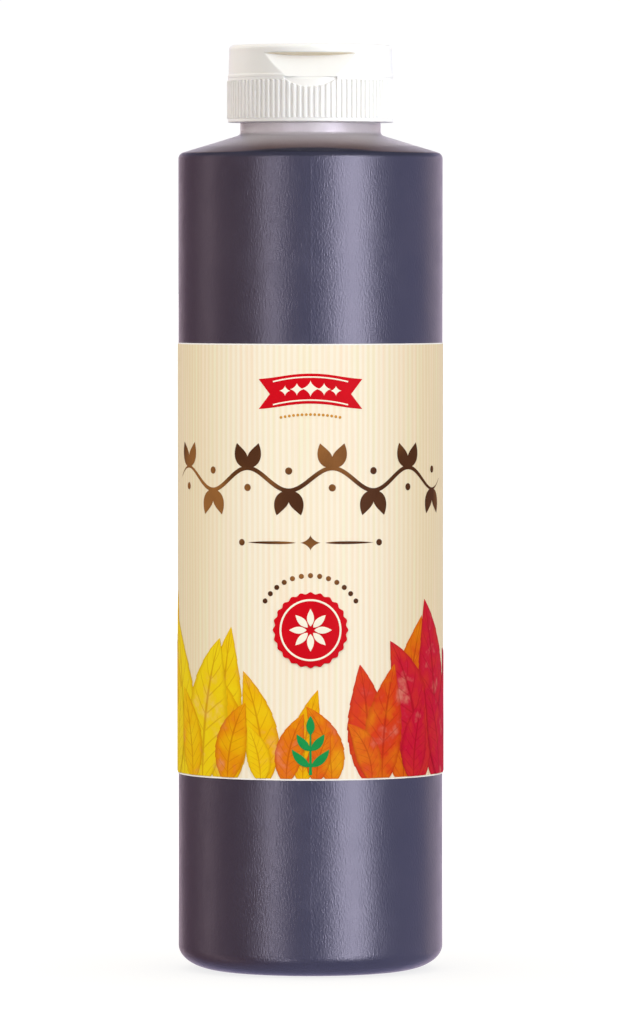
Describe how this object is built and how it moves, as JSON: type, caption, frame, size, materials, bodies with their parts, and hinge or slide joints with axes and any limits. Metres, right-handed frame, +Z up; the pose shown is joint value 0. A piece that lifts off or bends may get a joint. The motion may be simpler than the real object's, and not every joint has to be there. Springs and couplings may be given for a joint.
{
  "type": "maple syrup bottle",
  "caption": "Tall round squeeze bottle of maple syrup with a cone shoulder, a wrap label and a ribbed flip-top cap whose hinged lid has a thumb scoop.",
  "frame": {"origin": "middle of the foot, on the plane that the bottle stands on", "axes": "+Z up along the bottle's axis, -Y towards the front of the label and the cap's thumb scoop, +Y towards the lid's hinge"},
  "size_m": [0.077, 0.077, 0.268],
  "materials": {
    "bottle_plastic": "satin natural polyethylene, translucent, with fine upright mould lines",
    "syrup": "dark clear brown syrup",
    "label_film": "satin printed film, cream with pale wood grain",
    "cap_plastic": "satin white polypropylene"
  },
  "bodies": {
    "bottle_body": {"bottle": "bottle_plastic", "syrup": "syrup", "label": "label_film", "cap_base": "cap_plastic"},
    "lid_body": {"lid": "cap_plastic"}
  },
  "joints": [
    {"name": "lid_hinge", "type": "hinge", "parent": "bottle_body", "child": "lid_body", "pos_m": [0, 0.02475, 0.25835], "axis": [-1, 0, 0], "range_deg": [0, 150]}
  ]
}
